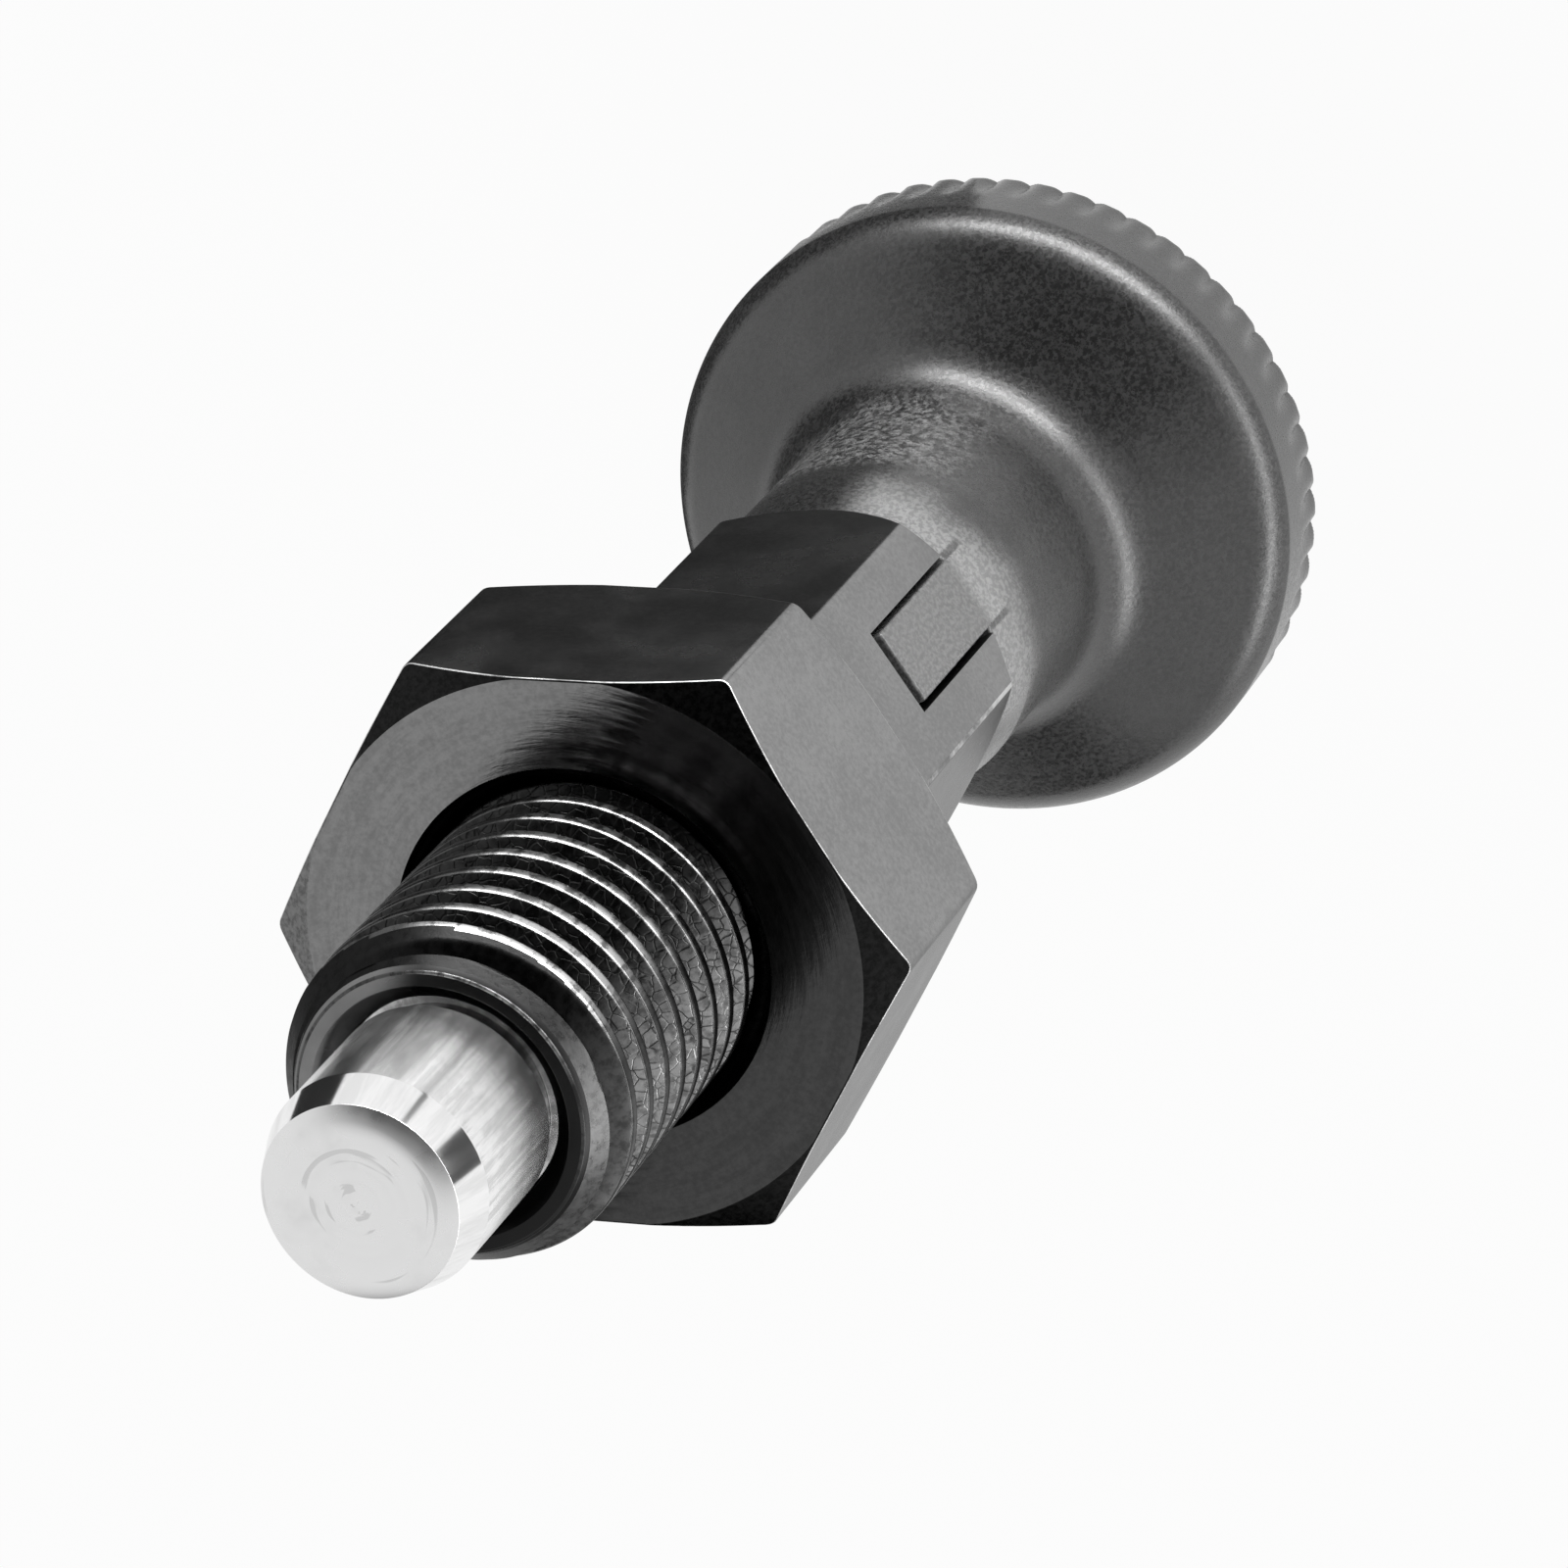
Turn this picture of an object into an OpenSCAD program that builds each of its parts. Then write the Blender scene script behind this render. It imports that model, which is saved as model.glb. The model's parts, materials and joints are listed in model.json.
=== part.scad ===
// Indexing plunger with a rest position: a spring-loaded locating pin in a threaded sleeve,
// with a lock nut and a mushroom knob. Millimetres, +Z up.
// The plunger stands on the flat end of its knob, and the origin is the centre of that end.

/* [Locating pin] */
// Diameter of the locating pin
pin_d = 5; // [4:0.1:5.4]
// How far the pin stands out of the sleeve at rest
pin_out = 4.6; // [3:0.1:8]
// Length of the lead-in taper at the pin's tip
taper_len = 1.1; // [0.4:0.1:2]
// Angle of the lead-in taper from the axis
taper_deg = 15; // [5:1:30]
// Length of the pin that slides in the sleeve's bore
guide_len = 8; // [5:0.5:9]
// Width of the relief groove between the locating end and the guide
relief_w = 0.6; // [0.6:0.1:1]
// Depth of the relief groove
relief_depth = 0.22; // [0.2:0.01:0.5]
// Diameter of the shank that runs through the spring to the knob
shank_d = 3; // [2:0.1:3.2]
// Depth to which the shank is pressed into the knob
shank_in_knob = 10; // [5:0.5:11]
// Length of the knurl at the shank's end
knurl_len = 4; // [2:0.5:5]
// Number of teeth of that knurl
knurl_count = 18; // [12:1:24]
// How far the knurl's teeth bite into the knob
knurl_bite = 0.08; // [0.04:0.01:0.12]

/* [Sleeve] */
// Nominal diameter of the sleeve's fine thread
thread_d = 8; // [8:0.1:10]
// Pitch of the thread
thread_pitch = 1; // [0.75:0.25:1.25]
// Length of the threaded shank, from the hexagon to the front face
thread_len = 14.2; // [12:0.1:24]
// Diameter of the front face, inside the lead-in cone
nose_d = 6.5; // [6.3:0.1:7]
// Length of the lead-in cone at the front face
nose_len = 1.1; // [0.5:0.1:2]
// Width of the countersink at the bore's mouth
mouth_chamfer = 0.4; // [0.1:0.05:0.5]
// Width across the flats of the sleeve's hexagon
hex_af = 8; // [8:0.1:10]
// Length of the hexagon
hex_len = 11.8; // [9:0.1:16]
// Length of the turned chamfer at the hexagon's knob end
hex_chamfer_len = 0.95; // [0.4:0.05:1.5]
// Thickness of the wall between the locking slots and the spring chamber
floor_t = 0.7; // [0.5:0.1:1.5]

/* [Lock nut] */
// Width across the flats of the lock nut
nut_af = 13; // [12:0.5:17]
// Thickness of the lock nut
nut_h = 5.7; // [4:0.1:7]
// How far the nut is turned from the sleeve's hexagon
nut_turn = -2; // [-30:1:30]
// How much wider the nut's round face is than its flats
nut_face_extra = 0.1; // [0.1:0.05:0.5]
// Angle of the nut's chamfers
nut_chamfer_deg = 30; // [15:1:35]
// Width of the countersink at each end of the nut's bore
nut_sink = 0.7; // [0.3:0.05:1]

/* [Knob] */
// Height of the knob, from its flat end to the end of its hub
knob_h = 14.4; // [13:0.1:20]
// Diameter of the knob's head over the ribs
head_d = 16; // [14:0.5:22]
// Height of the head's upright rim above the flat end
rim_h = 4; // [3:0.1:6]
// Diameter of the flat in the middle of the knob's crowned end
end_flat_d = 9; // [5:0.5:9]
// Height of the crown, from that flat to the widest line of the rim
crown_h = 1.6; // [1:0.1:1.8]
// Radius of the edge between the crown and the rim
edge_round = 0.4; // [0.2:0.05:0.6]
// Radius of the rounding between the rim and the underside
rim_round = 0.5; // [0.2:0.1:1]
// Slope of the head's underside
under_deg = 33; // [20:1:40]
// Radius of the flare between the underside and the hub
flare_r = 2.5; // [1:0.1:3]
// Diameter of the hub
hub_d = 8.3; // [8.2:0.1:9]
// How much narrower the hub is where it meets the sleeve
hub_taper = 0.4; // [0:0.05:0.6]
// Length of that narrowing
hub_taper_len = 1.8; // [1:0.1:3]
// Number of ribs round the rim
rib_count = 57; // [24:1:60]
// Depth of the grooves between the ribs
rib_depth = 0.2; // [0.1:0.05:0.4]
// Height at which the grooves between the ribs end, above the flat end
rib_h = 2.7; // [2.2:0.1:2.9]

/* [Locking lugs] */
// Width of the two locking lugs
lug_w = 1.9; // [1.2:0.1:3]
// Length of the lugs beyond the hub
lug_len = 5; // [3:0.1:6]
// Thickness of the lugs
lug_t = 1.65; // [1:0.05:1.8]

/* [Spring] */
// Diameter of the spring's wire
wire_d = 0.5; // [0.3:0.05:0.55]
// Number of active turns
active_turns = 8; // [5:1:9]

/* [Clearances] */
// Radial clearance of the pin in its bore
guide_gap = 0.03; // [0.01:0.01:0.05]
// Radial clearance of the shank in the sleeve's rear wall
shank_gap = 0.05; // [0.03:0.01:0.08]
// Radial clearance between the nut's thread and the sleeve's
thread_gap = 0.03; // [0.01:0.01:0.1]
// Radial clearance between the spring and its chamber
spring_gap = 0.2; // [0.1:0.05:0.25]
// Clearance on each side of a lug in its slot
lug_gap = 0.15; // [0.05:0.05:0.3]
// Clearance at the end of a lug
lug_end_gap = 0.4; // [0.2:0.1:1]

/* [Hidden] */
$fn = 96;
// Cuts reach this far past the faces they open
over = 1;

// Heights along the axis, from the knob's flat end up to the pin's tip
shoulder_z = knob_h + hex_len;
nut_top_z = shoulder_z + nut_h;
face_z = shoulder_z + thread_len;
tip_z = face_z + pin_out;
lug_end_z = knob_h + lug_len;
slot_end_z = lug_end_z + lug_end_gap;
floor_z = slot_end_z + floor_t;
guide_z = face_z - guide_len;
shank_hole_z = knob_h - shank_in_knob;

// Radii and widths that follow from the driving sizes
pin_r = pin_d / 2;
tip_r = pin_r - taper_len * tan(taper_deg);
relief_r = pin_r - relief_depth;
shank_r = shank_d / 2;
bore_r = pin_r + guide_gap;
thread_r = thread_d / 2;
// Under the nut both threads are drawn at the pitch diameter, where their flanks meet
flank_mid = 0.32476;
pitch_r = thread_r - flank_mid * thread_pitch;
nut_bore_r = pitch_r + thread_gap;
hub_r = hub_d / 2;
head_r = head_d / 2;
lug_in_x = hex_af / 2 - lug_t;
spring_r = bore_r - spring_gap - wire_d / 2;
// Rise of one closed end turn of the spring
closed_rise = 1.06 * wire_d;
// Chamfer of the shank's end, and the space left under that end in the knob
shank_chamfer = 0.25;
// Chamfer of the hexagon's corners at the nut
shoulder_chamfer = 0.3;

// Points of an arc round a centre, from angle a0 to a1
function arc(centre, r, a0, a1, steps = 10) =
    [for (i = [0:steps]) let (a = a0 + (a1 - a0) * i / steps) centre + r * [cos(a), sin(a)]];

// A solid of revolution from [radius, height] points
module turned(points) {
    rotate_extrude() polygon(points);
}

// A hexagonal bar with two flats facing +X and -X
module hex_bar(af, h) {
    rotate([0, 0, 30]) cylinder(d = af / cos(30), h = h, $fn = 6);
}

// Half of the knob's section: flat, crown, rim, sloping underside, flare and hub
module knob_section() {
    flat_r = end_flat_d / 2;
    edge_x = head_r - edge_round;
    span = edge_x - flat_r;
    crown_r = (span * span + crown_h * crown_h - edge_round * edge_round) / (crown_h - edge_round) / 2;
    crown_end = atan2(crown_h - crown_r, span);
    slope = [sin(under_deg), cos(under_deg)];
    rim_centre = [head_r - rim_round, rim_h];
    under = rim_centre + rim_round * slope;
    flare_x = hub_r + flare_r;
    flare_z = under[1] + (flare_r - (flare_x - under[0]) * slope[0]) / slope[1];
    polygon(concat(
        [[0, 0]],
        arc([flat_r, crown_r], crown_r, -90, crown_end),
        arc([edge_x, crown_h], edge_round, crown_end, 0, 6),
        arc(rim_centre, rim_round, 0, 90 - under_deg),
        arc([flare_x, flare_z], flare_r, 270 - under_deg, 180),
        [[hub_r, knob_h - hub_taper_len], [hub_r - hub_taper / 2, knob_h], [0, knob_h]]
    ));
}

// Outline of the ribbed band: sharp grooves between rounded ribs, whose crests stand clear of the rim
module rib_outline() {
    steps = 6;
    clear = rib_depth / 4;
    polygon([for (i = [0:rib_count * steps - 1])
        let (a = 360 * i / (rib_count * steps), dip = 1 - abs(sin(180 * i / steps)))
        (head_r + clear - (rib_depth + clear) * dip) * [cos(a), sin(a)]]);
}

// The rim's grooves, as one ring to cut away
module rib_grooves() {
    translate([0, 0, -over]) linear_extrude(rib_h + over) difference() {
        circle(r = head_r + over);
        rib_outline();
    }
}

// One lug: it runs up the hub from the flare's side and ends flush with a flat of the hexagon
module locking_lug() {
    root = knob_h - hub_taper_len;
    translate([lug_in_x, -lug_w / 2, root]) cube([lug_t, lug_w, lug_end_z - root]);
}

module knob() {
    color("#3a3a3c") difference() {
        union() {
            rotate_extrude() knob_section();
            for (side = [0, 180]) rotate([0, 0, side]) locking_lug();
        }
        rib_grooves();
        translate([0, 0, shank_hole_z]) cylinder(r = shank_r, h = knob_h);
    }
}

// Straight knurl that holds the shank in the knob
module shank_knurl() {
    root = shank_r - knurl_bite;
    crest = shank_r + knurl_bite;
    translate([0, 0, shank_hole_z + 2 * shank_chamfer]) linear_extrude(knurl_len)
        polygon([for (i = [0:2 * knurl_count - 1])
            let (a = 180 * i / knurl_count) (i % 2 == 0 ? crest : root) * [cos(a), sin(a)]]);
}

module plunger_pin() {
    shank_end_z = shank_hole_z + shank_chamfer;
    color("#c9cacc") union() {
        turned([
            [0, shank_end_z], [shank_r - shank_chamfer, shank_end_z],
            [shank_r, shank_end_z + shank_chamfer], [shank_r, guide_z],
            [pin_r, guide_z], [pin_r, face_z - relief_w],
            [relief_r, face_z - relief_w], [relief_r, face_z],
            [pin_r, face_z], [pin_r, tip_z - taper_len],
            [tip_r, tip_z], [0, tip_z]
        ]);
        shank_knurl();
    }
}

// Height of the wire's centre after a given number of turns: one closed turn, the open ones, one closed
function wire_z(turn) =
    let (rise = guide_z - floor_z - 2 * closed_rise)
    turn < 1 ? closed_rise * turn
        : turn > 1 + active_turns ? closed_rise + rise + closed_rise * (turn - 1 - active_turns)
        : closed_rise + rise * (turn - 1) / active_turns;

// Compression spring with both ends ground flat: the wire is thinned to stay between its two seats
module spring() {
    sides = 8;
    per_turn = 20;
    last = (active_turns + 2) * per_turn;
    rings = [for (i = [0:last], k = [0:sides - 1])
        let (a = 360 * i / per_turn, b = 360 * (k + 0.5) / sides, r = spring_r + wire_d / 2 * cos(b),
             z = floor_z + wire_z(i / per_turn),
             low = max(z - wire_d / 2, floor_z), high = min(z + wire_d / 2, guide_z))
        [r * cos(a), r * sin(a), (low + high) / 2 + (high - low) / 2 * sin(b)]];
    walls = [for (i = [0:last - 1], k = [0:sides - 1])
        let (n = (k + 1) % sides, p = i * sides)
        [p + k, p + n, p + sides + n, p + sides + k]];
    start_cap = [for (k = [0:sides - 1]) sides - 1 - k];
    end_cap = [for (k = [0:sides - 1]) last * sides + k];
    color("#9b9ca0") polyhedron(points = rings, faces = concat([start_cap, end_cap], walls), convexity = 10);
}

// Outside of the sleeve: hexagon with a turned chamfer, neck in the nut, threaded shank and lead-in cone
module sleeve_outside() {
    corner_r = hex_af / cos(30) / 2;
    intersection() {
        translate([0, 0, knob_h]) hex_bar(hex_af, hex_len);
        turned([
            [0, knob_h], [hex_af / 2, knob_h], [corner_r, knob_h + hex_chamfer_len],
            [corner_r, shoulder_z - shoulder_chamfer], [hex_af / 2, shoulder_z], [0, shoulder_z]
        ]);
    }
    turned([
        [0, floor_z], [pitch_r, floor_z], [pitch_r, nut_top_z], [thread_r, nut_top_z],
        [thread_r, face_z - nose_len], [nose_d / 2, face_z], [0, face_z]
    ]);
}

// One locking slot, open at the knob end and on a flat of the hexagon
module locking_slot() {
    width = lug_w + 2 * lug_gap;
    translate([lug_in_x - lug_gap, -width / 2, knob_h - over])
        cube([hex_af, width, slot_end_z - knob_h + over]);
}

module guide_sleeve() {
    color("#2a2a2c") difference() {
        sleeve_outside();
        translate([0, 0, knob_h - over]) cylinder(r = shank_r + shank_gap, h = thread_len + hex_len);
        translate([0, 0, floor_z]) cylinder(r = bore_r, h = face_z - floor_z + over);
        translate([0, 0, face_z - mouth_chamfer])
            cylinder(r1 = bore_r, r2 = bore_r + mouth_chamfer + over, h = mouth_chamfer + over);
        for (side = [0, 180]) rotate([0, 0, side]) locking_slot();
    }
}

// One countersink of the nut's bore, with its wide end at z = 0 and its point up
module nut_countersink() {
    translate([0, 0, -over])
        cylinder(r1 = nut_bore_r + nut_sink + over, r2 = nut_bore_r, h = nut_sink + over);
}

module lock_nut() {
    corner_r = nut_af / cos(30) / 2;
    round_r = (nut_af + nut_face_extra) / 2;
    drop = (corner_r - round_r) * tan(nut_chamfer_deg);
    color("#343437") translate([0, 0, shoulder_z]) rotate([0, 0, nut_turn]) difference() {
        intersection() {
            hex_bar(nut_af, nut_h);
            turned([
                [0, 0], [round_r, 0], [corner_r, drop],
                [corner_r, nut_h - drop], [round_r, nut_h], [0, nut_h]
            ]);
        }
        translate([0, 0, -over]) cylinder(r = nut_bore_r, h = nut_h + 2 * over);
        nut_countersink();
        translate([0, 0, nut_h]) mirror([0, 0, 1]) nut_countersink();
    }
}

knob();
plunger_pin();
spring();
guide_sleeve();
lock_nut();
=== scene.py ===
import json
import math

import bmesh
import bpy
from mathutils import Matrix, Vector


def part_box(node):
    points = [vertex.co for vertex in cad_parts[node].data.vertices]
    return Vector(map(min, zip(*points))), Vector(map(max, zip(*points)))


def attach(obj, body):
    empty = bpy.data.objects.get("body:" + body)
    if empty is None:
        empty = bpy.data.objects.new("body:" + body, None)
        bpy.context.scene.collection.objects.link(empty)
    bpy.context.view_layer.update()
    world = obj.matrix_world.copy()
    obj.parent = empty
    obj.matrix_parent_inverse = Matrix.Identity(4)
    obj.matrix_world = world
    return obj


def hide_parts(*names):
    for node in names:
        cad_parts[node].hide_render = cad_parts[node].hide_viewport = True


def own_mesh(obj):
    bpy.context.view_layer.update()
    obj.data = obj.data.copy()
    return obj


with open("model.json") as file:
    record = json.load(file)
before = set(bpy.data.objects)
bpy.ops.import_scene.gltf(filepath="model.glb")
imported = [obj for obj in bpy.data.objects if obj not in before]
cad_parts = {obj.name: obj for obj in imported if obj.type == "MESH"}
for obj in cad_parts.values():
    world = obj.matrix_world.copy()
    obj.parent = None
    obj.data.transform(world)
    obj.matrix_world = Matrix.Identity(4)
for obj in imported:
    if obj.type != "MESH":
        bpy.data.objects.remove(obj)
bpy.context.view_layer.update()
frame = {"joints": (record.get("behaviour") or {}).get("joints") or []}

MM = 0.001
TURN = 2 * math.pi

# ------------------------------ places taken from the CAD frame

knob_low, knob_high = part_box("knob")
pin_low, pin_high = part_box("plunger_pin")
spring_low, spring_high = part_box("spring")
sleeve_low, sleeve_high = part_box("guide_sleeve")
nut_low, nut_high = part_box("lock_nut")

BASE_Z = knob_low.z
HEX_END_Z = sleeve_low.z
LUG_END_Z = knob_high.z
SHOULDER_Z = nut_low.z
NUT_FACE_Z = nut_high.z
FACE_Z = sleeve_high.z
TIP_Z = pin_high.z
PIN_R = pin_high.x
HEAD_R = knob_high.x
HEX_AF = 2 * sleeve_high.y * math.cos(math.radians(30))

# How far the knob can be pulled
PULL = max(joint["range_m"][1] for joint in frame["joints"] if joint["name"] == "knob_pull")

# The knob's two lugs, which end flush with two of the hexagon's flats
LUG_W = 1.9 * MM
LUG_T = 1.65 * MM

# ------------------------------ camera

AIM = Vector((0.2 * MM, -0.8 * MM, 20.4 * MM))
CAMERA_AZIMUTH = 15.74
CAMERA_ELEVATION = 59.87
CAMERA_ROLL = 138.42
CAMERA_DISTANCE = 188.8 * MM
CAMERA_LENS = 186.9


def direction(azimuth, elevation):
    """Unit vector at an azimuth from +X and an elevation above the horizon, in degrees."""
    a = math.radians(azimuth)
    e = math.radians(elevation)
    return Vector((math.cos(a) * math.cos(e), math.sin(a) * math.cos(e), math.sin(e)))


def aimed(location, forward, roll):
    """Matrix of a camera at location that looks along forward, rolled by some degrees."""
    side = forward.cross(Vector((0, 0, 1))).normalized()
    level_up = side.cross(forward)
    a = math.radians(roll)
    up = math.cos(a) * level_up + math.sin(a) * side
    right = forward.cross(up)
    matrix = Matrix((right, up, -forward)).transposed().to_4x4()
    matrix.translation = location
    return matrix


camera_data = bpy.data.cameras.new("photo_camera")
camera_data.lens = CAMERA_LENS
camera_data.clip_start = 0.01
camera_data.clip_end = 5
camera = bpy.data.objects.new("photo_camera", camera_data)
bpy.context.scene.collection.objects.link(camera)
toward_camera = direction(CAMERA_AZIMUTH, CAMERA_ELEVATION)
camera.matrix_world = aimed(AIM + toward_camera * CAMERA_DISTANCE, -toward_camera, CAMERA_ROLL)
bpy.context.scene.camera = camera

# ------------------------------ material helpers


class Graph:
    """A node tree with short ways to add the nodes that the finishes need."""

    def __init__(self, tree):
        self.tree = tree
        tree.nodes.clear()

    def node(self, kind, **settings):
        """A new node with some of its settings."""
        made = self.tree.nodes.new(kind)
        for name, value in settings.items():
            setattr(made, name, value)
        return made

    def join(self, value, socket):
        """Sets a socket: links another node's output, or writes a constant on it."""
        if isinstance(value, bpy.types.NodeSocket):
            self.tree.links.new(value, socket)
        else:
            socket.default_value = value

    def math(self, operation, first, second=0.0, clamp=False):
        """Result of one operation on one or two values."""
        made = self.node("ShaderNodeMath", operation=operation, use_clamp=clamp)
        self.join(first, made.inputs[0])
        self.join(second, made.inputs[1])
        return made.outputs[0]

    def times(self, first, *others):
        """Product of several values."""
        for other in others:
            first = self.math("MULTIPLY", first, other)
        return first

    def weigh(self, first, second, share):
        """Mean of two values, of which the first has this share."""
        return self.math("ADD", self.times(first, share), self.times(second, 1 - share))

    def size(self, value):
        """The value without its sign."""
        return self.math("ABSOLUTE", value)

    def ramp(self, value, low, high, start=0.0, end=1.0):
        """Smooth step of value from start to end as it goes from low to high."""
        made = self.node("ShaderNodeMapRange", interpolation_type="SMOOTHSTEP")
        self.join(value, made.inputs["Value"])
        made.inputs["From Min"].default_value = low
        made.inputs["From Max"].default_value = high
        made.inputs["To Min"].default_value = start
        made.inputs["To Max"].default_value = end
        return made.outputs["Result"]

    def noise(self, vector, scale, detail, roughness):
        """Soft random pattern between 0 and 1, with scale cells to each unit of the vector."""
        made = self.node("ShaderNodeTexNoise")
        self.join(vector, made.inputs["Vector"])
        made.inputs["Scale"].default_value = scale
        made.inputs["Detail"].default_value = detail
        made.inputs["Roughness"].default_value = roughness
        return made.outputs["Fac"]

    def cracks(self, vector, scale, width):
        """0 along the borders of irregular cells and 1 inside them."""
        made = self.node("ShaderNodeTexVoronoi", feature="DISTANCE_TO_EDGE")
        self.join(vector, made.inputs["Vector"])
        made.inputs["Scale"].default_value = scale
        return self.ramp(made.outputs["Distance"], 0.0, width)

    def shaken(self, vector, scale, reach):
        """The vector, moved about by up to reach in each direction."""
        wander = self.node("ShaderNodeTexNoise")
        self.join(vector, wander.inputs["Vector"])
        wander.inputs["Scale"].default_value = scale
        made = self.node("ShaderNodeVectorMath", operation="MULTIPLY_ADD")
        self.join(wander.outputs["Color"], made.inputs[0])
        made.inputs[1].default_value = (reach, reach, reach)
        self.join(vector, made.inputs[2])
        return made.outputs[0]

    def place(self):
        """Object coordinates: metres in the CAD frame, moving with the piece."""
        return self.node("ShaderNodeTexCoord").outputs["Object"]

    def along(self, vector, axis):
        """How far a vector reaches along an axis."""
        made = self.node("ShaderNodeVectorMath", operation="DOT_PRODUCT")
        self.join(vector, made.inputs[0])
        made.inputs[1].default_value = axis
        return made.outputs["Value"]

    def round_axis(self, around, across, along):
        """Coordinates for turning marks: the direction round the axis, the radius and the height,
        each with its own scale, with no seam."""
        split = self.node("ShaderNodeSeparateXYZ")
        self.join(self.place(), split.inputs[0])
        x, y, z = split.outputs
        flat = self.node("ShaderNodeCombineXYZ")
        self.join(x, flat.inputs[0])
        self.join(y, flat.inputs[1])
        radius = self.node("ShaderNodeVectorMath", operation="LENGTH")
        self.join(flat.outputs[0], radius.inputs[0])
        unit = self.node("ShaderNodeVectorMath", operation="NORMALIZE")
        self.join(flat.outputs[0], unit.inputs[0])
        wound = self.node("ShaderNodeVectorMath", operation="SCALE")
        self.join(unit.outputs[0], wound.inputs[0])
        wound.inputs["Scale"].default_value = around
        outward = self.times(radius.outputs["Value"], across)
        upward = self.times(z, along)
        lift = self.node("ShaderNodeCombineXYZ")
        self.join(self.math("ADD", outward, upward), lift.inputs[2])
        total = self.node("ShaderNodeVectorMath", operation="ADD")
        self.join(wound.outputs[0], total.inputs[0])
        self.join(lift.outputs[0], total.inputs[1])
        return total.outputs[0]

    def mix(self, value, first, second):
        """A colour that goes from first to second as value goes from 0 to 1."""
        made = self.node("ShaderNodeMix", data_type="RGBA")
        self.join(value, made.inputs["Factor"])
        self.join(first, made.inputs[6])
        self.join(second, made.inputs[7])
        return made.outputs[2]

    def grey(self, value, dark, light):
        """A neutral colour between two grey levels."""
        return self.mix(value, (dark, dark, dark, 1), (light, light, light, 1))

    def bump(self, height, distance, strength, normal=None):
        """Normal tilted by a height pattern of some depth, on top of another bump if one is given."""
        made = self.node("ShaderNodeBump")
        self.join(height, made.inputs["Height"])
        made.inputs["Distance"].default_value = distance
        made.inputs["Strength"].default_value = strength
        if normal is not None:
            self.join(normal, made.inputs["Normal"])
        return made.outputs["Normal"]


def material_of(name, build):
    """A material whose surface is the shader that build(graph) makes."""
    material = bpy.data.materials.new(name)
    material.use_nodes = True
    graph = Graph(material.node_tree)
    output = graph.node("ShaderNodeOutputMaterial")
    graph.join(build(graph).outputs[0], output.inputs["Surface"])
    return material


def principled(graph, colour, roughness, normal=None):
    """A Principled shader with the inputs that every finish has."""
    shader = graph.node("ShaderNodeBsdfPrincipled")
    graph.join(colour, shader.inputs["Base Color"])
    graph.join(roughness, shader.inputs["Roughness"])
    if normal is not None:
        graph.join(normal, shader.inputs["Normal"])
    return shader


def diffuse(graph, level):
    """A matt grey shader."""
    shader = graph.node("ShaderNodeBsdfDiffuse")
    shader.inputs["Color"].default_value = (level, level, level, 1)
    return shader


# ------------------------------ finishes
#
# A finish mixes a few noises into a grey tone and a roughness, and most also into a bump. A noise
# has a scale, detail and roughness. A ramp goes between two values, from one level to another.


def metal(shader, edge=0.5):
    """Bare or oxidised steel: fully metallic, and a little darker at grazing angles."""
    shader.inputs["Metallic"].default_value = 1.0
    shader.inputs["Specular Tint"].default_value = (edge, edge, edge, 1)
    return shader


def brushed(graph, shader, amount):
    """Stretches the reflections across the marks that run round the axis."""
    shader.inputs["Anisotropic"].default_value = amount
    shader.inputs["Anisotropic Rotation"].default_value = 0.25
    tangent = graph.node("ShaderNodeTangent", direction_type="RADIAL", axis="Z")
    graph.join(tangent.outputs[0], shader.inputs["Tangent"])
    return shader


def black_steel(graph):
    """Oiled black oxide on milled flats: dark, satin, with fine specks and faint clouds."""
    place = graph.place()
    clouds = graph.noise(place, 420, 4, 0.6)
    specks = graph.noise(place, 7500, 3, 0.7)
    tone = graph.weigh(clouds, specks, 0.4)
    colour = graph.grey(graph.ramp(tone, 0.36, 0.64), 0.28, 0.36)
    roughness = graph.ramp(clouds, 0.3, 0.7, 0.22, 0.28)
    return metal(principled(graph, colour, roughness, graph.bump(specks, 0.004 * MM, 0.5)))


def turned_steel(graph):
    """Black oxide on turned rings: fine marks round the axis, and painted shade that leaves it nearly
    black but for the side toward one azimuth."""
    rings = graph.noise(graph.round_axis(0.6, 9000, 4000), 1.0, 3, 0.6)
    clouds = graph.noise(graph.place(), 320, 4, 0.6)
    # Painted shade: nearly black but for the lit side toward azimuth 135.
    painted_lit_side = graph.ramp(graph.along(graph.place(), direction(135, 0)), 0.8 * MM, 2.0 * MM, 0.05, 1.0)
    tone = graph.times(graph.ramp(clouds, 0.3, 0.7, 0.6, 1.0), painted_lit_side)
    colour = graph.grey(tone, 0.01, 0.24)
    roughness = graph.ramp(clouds, 0.3, 0.7, 0.2, 0.3)
    shader = metal(principled(graph, colour, roughness, graph.bump(rings, 0.004 * MM, 0.6)))
    return brushed(graph, shader, 0.25)


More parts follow.
